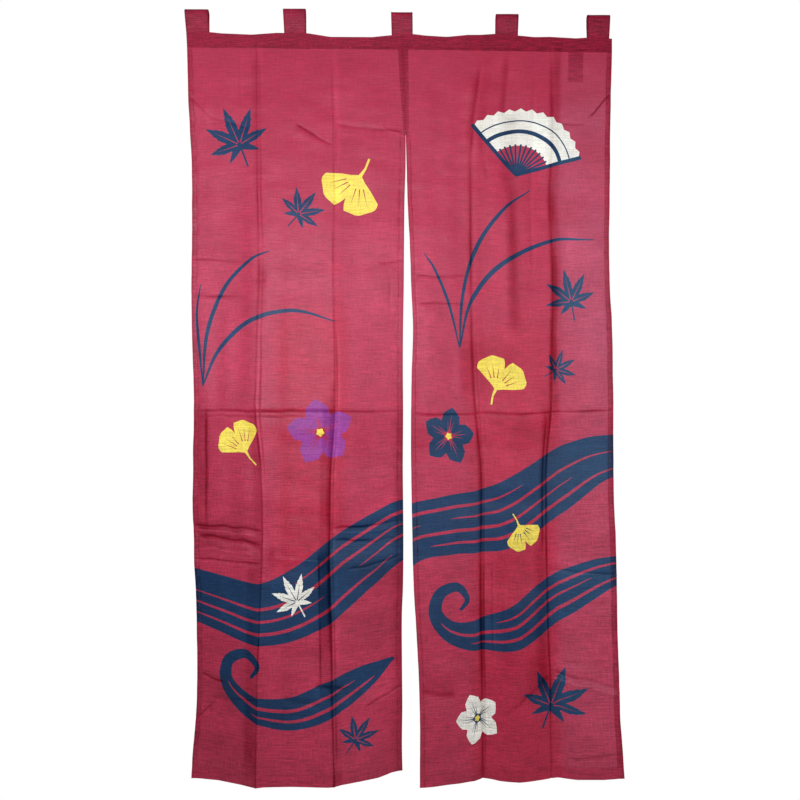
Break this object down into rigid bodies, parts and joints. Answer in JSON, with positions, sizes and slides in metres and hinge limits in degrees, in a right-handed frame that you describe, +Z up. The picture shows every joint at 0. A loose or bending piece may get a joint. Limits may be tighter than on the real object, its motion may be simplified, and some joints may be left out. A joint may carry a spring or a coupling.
{
  "type": "noren curtain",
  "caption": "Split door curtain: two hanging cloth panels joined at the top under a heading strip with tab loops for a rod, printed with a plain leaf-and-water design.",
  "frame": {"origin": "on the line of the rod that the tab loops take, at the middle tab", "axes": "+Z up, +X along the rod to the viewer's right, and the printed front faces -Y"},
  "size_m": [0.8804, 0.0729, 1.5531],
  "materials": {
    "panel_cloth": "thin slubbed plain weave, crimson rose, slightly see-through, printed in navy, yellow, ivory and purple",
    "heading_cloth": "the same cloth doubled, so darker, with a line of stitches",
    "tab_cloth": "the same cloth doubled into flat bands",
    "label_cloth": "blank woven cotton tape"
  },
  "bodies": {
    "root": {"left_panel": "panel_cloth", "right_panel": "panel_cloth", "heading_strip": "heading_cloth", "tab_1": "tab_cloth", "tab_2": "tab_cloth", "tab_3": "tab_cloth", "tab_4": "tab_cloth", "tab_5": "tab_cloth", "back_label": "label_cloth"}
  },
  "joints": []
}
